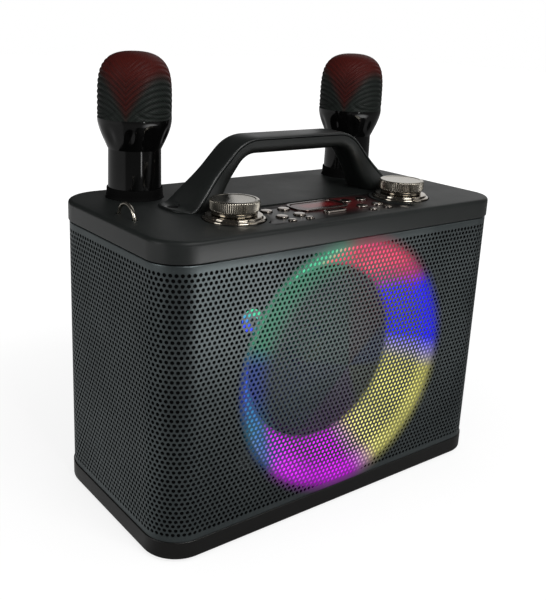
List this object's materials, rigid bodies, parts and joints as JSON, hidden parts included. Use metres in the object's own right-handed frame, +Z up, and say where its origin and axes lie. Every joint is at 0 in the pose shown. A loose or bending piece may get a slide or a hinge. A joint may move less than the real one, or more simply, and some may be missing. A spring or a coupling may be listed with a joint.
{
  "type": "karaoke speaker",
  "caption": "Box-shaped karaoke speaker wrapped in perforated steel, with a lit driver, a bridge handle, a panel of buttons and knobs, a strap loop and cordless microphones in wells.",
  "frame": {"origin": "centre of the body's footprint, on the surface that the rubber feet stand on", "axes": "+Z up, -Y out of the front grille, +X to the right as seen from the front"},
  "size_m": [0.31, 0.162, 0.326],
  "materials": {
    "base_plastic": "near black, fine grain",
    "foot_rubber": "matte black",
    "inner_plastic": "plain black moulding",
    "mesh_steel": "dark grey powder coat over perforated sheet",
    "funnel_plastic": "translucent white, lit from behind in changing colours",
    "circuit_board": "green resist",
    "driver_steel": "black stamped steel",
    "surround_rubber": "matte rubber roll",
    "cone_plastic": "dark moulded cone",
    "magnet_steel": "plain ferrite and steel",
    "screw_steel": "zinc plated",
    "port_steel": "nickel plated shells",
    "battery_wrap": "blue shrink wrap",
    "cover_plastic": "dark grey, fine grain",
    "handle_plastic": "dark grey, satin",
    "panel_gloss": "polished black",
    "chrome_trim": "bright chrome",
    "display_smoke": "smoked window with a red glow",
    "chrome_knob": "bright chrome, ribbed rim",
    "chrome_button": "bright chrome on moulded caps",
    "loop_steel": "plated wire",
    "well_plastic": "matte black",
    "basket_steel": "dark wire weave with red light inside",
    "mic_gloss": "glossy black lacquer"
  },
  "bodies": {
    "speaker": {"base_tray": "base_plastic", "rubber_feet": "foot_rubber", "cabinet": "inner_plastic", "grille": "mesh_steel", "light_funnel": "funnel_plastic", "led_ring_board": "circuit_board", "driver_frame": "driver_steel", "driver_surround": "surround_rubber", "driver_cone": "cone_plastic", "dust_cap": "cone_plastic", "driver_magnet": "magnet_steel", "speaker_screws": "screw_steel", "rear_panel": "base_plastic", "rear_panel_screws": "screw_steel", "charge_socket": "port_steel", "usb_port": "port_steel", "aux_socket": "port_steel", "mic_jack": "port_steel", "main_board": "circuit_board", "battery_pack": "battery_wrap", "top_cover": "cover_plastic", "control_panel": "panel_gloss", "control_board": "circuit_board", "display_bezel": "chrome_trim", "display_window": "display_smoke", "knob_bezel_left": "chrome_trim", "knob_bezel_right": "chrome_trim", "handle_top": "cover_plastic", "handle_lower": "handle_plastic", "handle_screws": "screw_steel", "strap_loop": "loop_steel", "mic_well_left": "well_plastic", "mic_well_right": "well_plastic"},
    "power_rocker": {"power_rocker": "inner_plastic"},
    "knob_left": {"knob_left": "chrome_knob"},
    "knob_right": {"knob_right": "chrome_knob"},
    "button_bar": {"button_bar": "chrome_button"},
    "button_a1": {"button_a1": "chrome_button"},
    "button_a2": {"button_a2": "chrome_button"},
    "button_a3": {"button_a3": "chrome_button"},
    "button_a4": {"button_a4": "chrome_button"},
    "button_b1": {"button_b1": "chrome_button"},
    "button_b2": {"button_b2": "chrome_button"},
    "button_b3": {"button_b3": "chrome_button"},
    "button_b4": {"button_b4": "chrome_button"},
    "button_c1": {"button_c1": "chrome_button"},
    "button_c2": {"button_c2": "chrome_button"},
    "button_c3": {"button_c3": "chrome_button"},
    "button_c4": {"button_c4": "chrome_button"},
    "mic_left": {"mic_left_basket": "basket_steel", "mic_left_collar": "mic_gloss", "mic_left_body": "mic_gloss", "mic_left_tail": "inner_plastic"},
    "mic_left_button": {"mic_left_button": "inner_plastic"},
    "mic_right": {"mic_right_basket": "basket_steel", "mic_right_collar": "mic_gloss", "mic_right_body": "mic_gloss", "mic_right_tail": "inner_plastic"},
    "mic_right_button": {"mic_right_button": "inner_plastic"}
  },
  "joints": [
    {"name": "mic_left_lift", "type": "slide", "parent": "speaker", "child": "mic_left", "axis": [0, 0, 1], "range_m": [0, 0.16]},
    {"name": "mic_right_lift", "type": "slide", "parent": "speaker", "child": "mic_right", "axis": [0, 0, 1], "range_m": [0, 0.16]},
    {"name": "volume_left_turn", "type": "hinge", "parent": "speaker", "child": "knob_left", "pos_m": [-0.0795, -0.042, 0.227], "axis": [0, 0, 1], "range_deg": [-150, 150]},
    {"name": "volume_right_turn", "type": "hinge", "parent": "speaker", "child": "knob_right", "pos_m": [0.0795, -0.042, 0.227], "axis": [0, 0, 1], "range_deg": [-150, 150]},
    {"name": "power_rocker_flip", "type": "hinge", "parent": "speaker", "child": "power_rocker", "pos_m": [-0.05, 0.0775, 0.062], "axis": [1, 0, 0], "range_deg": [-14, 0]},
    {"name": "bar_press", "type": "slide", "parent": "speaker", "child": "button_bar", "axis": [0, 0, -1], "range_m": [0, 0.0008], "stiffness_N_per_m": 500},
    {"name": "press_a1", "type": "slide", "parent": "speaker", "child": "button_a1", "axis": [0, 0, -1], "range_m": [0, 0.0008], "stiffness_N_per_m": 500},
    {"name": "press_a2", "type": "slide", "parent": "speaker", "child": "button_a2", "axis": [0, 0, -1], "range_m": [0, 0.0008], "stiffness_N_per_m": 500},
    {"name": "press_a3", "type": "slide", "parent": "speaker", "child": "button_a3", "axis": [0, 0, -1], "range_m": [0, 0.0008], "stiffness_N_per_m": 500},
    {"name": "press_a4", "type": "slide", "parent": "speaker", "child": "button_a4", "axis": [0, 0, -1], "range_m": [0, 0.0008], "stiffness_N_per_m": 500},
    {"name": "press_b1", "type": "slide", "parent": "speaker", "child": "button_b1", "axis": [0, 0, -1], "range_m": [0, 0.0008], "stiffness_N_per_m": 500},
    {"name": "press_b2", "type": "slide", "parent": "speaker", "child": "button_b2", "axis": [0, 0, -1], "range_m": [0, 0.0008], "stiffness_N_per_m": 500},
    {"name": "press_b3", "type": "slide", "parent": "speaker", "child": "button_b3", "axis": [0, 0, -1], "range_m": [0, 0.0008], "stiffness_N_per_m": 500},
    {"name": "press_b4", "type": "slide", "parent": "speaker", "child": "button_b4", "axis": [0, 0, -1], "range_m": [0, 0.0008], "stiffness_N_per_m": 500},
    {"name": "press_c1", "type": "slide", "parent": "speaker", "child": "button_c1", "axis": [0, 0, -1], "range_m": [0, 0.0008], "stiffness_N_per_m": 500},
    {"name": "press_c2", "type": "slide", "parent": "speaker", "child": "button_c2", "axis": [0, 0, -1], "range_m": [0, 0.0008], "stiffness_N_per_m": 500},
    {"name": "press_c3", "type": "slide", "parent": "speaker", "child": "button_c3", "axis": [0, 0, -1], "range_m": [0, 0.0008], "stiffness_N_per_m": 500},
    {"name": "press_c4", "type": "slide", "parent": "speaker", "child": "button_c4", "axis": [0, 0, -1], "range_m": [0, 0.0008], "stiffness_N_per_m": 500},
    {"name": "mic_left_switch", "type": "slide", "parent": "mic_left", "child": "mic_left_button", "axis": [0, -1, 0], "range_m": [0, 0.0006], "stiffness_N_per_m": 500},
    {"name": "mic_right_switch", "type": "slide", "parent": "mic_right", "child": "mic_right_button", "axis": [0, -1, 0], "range_m": [0, 0.0006], "stiffness_N_per_m": 500}
  ]
}
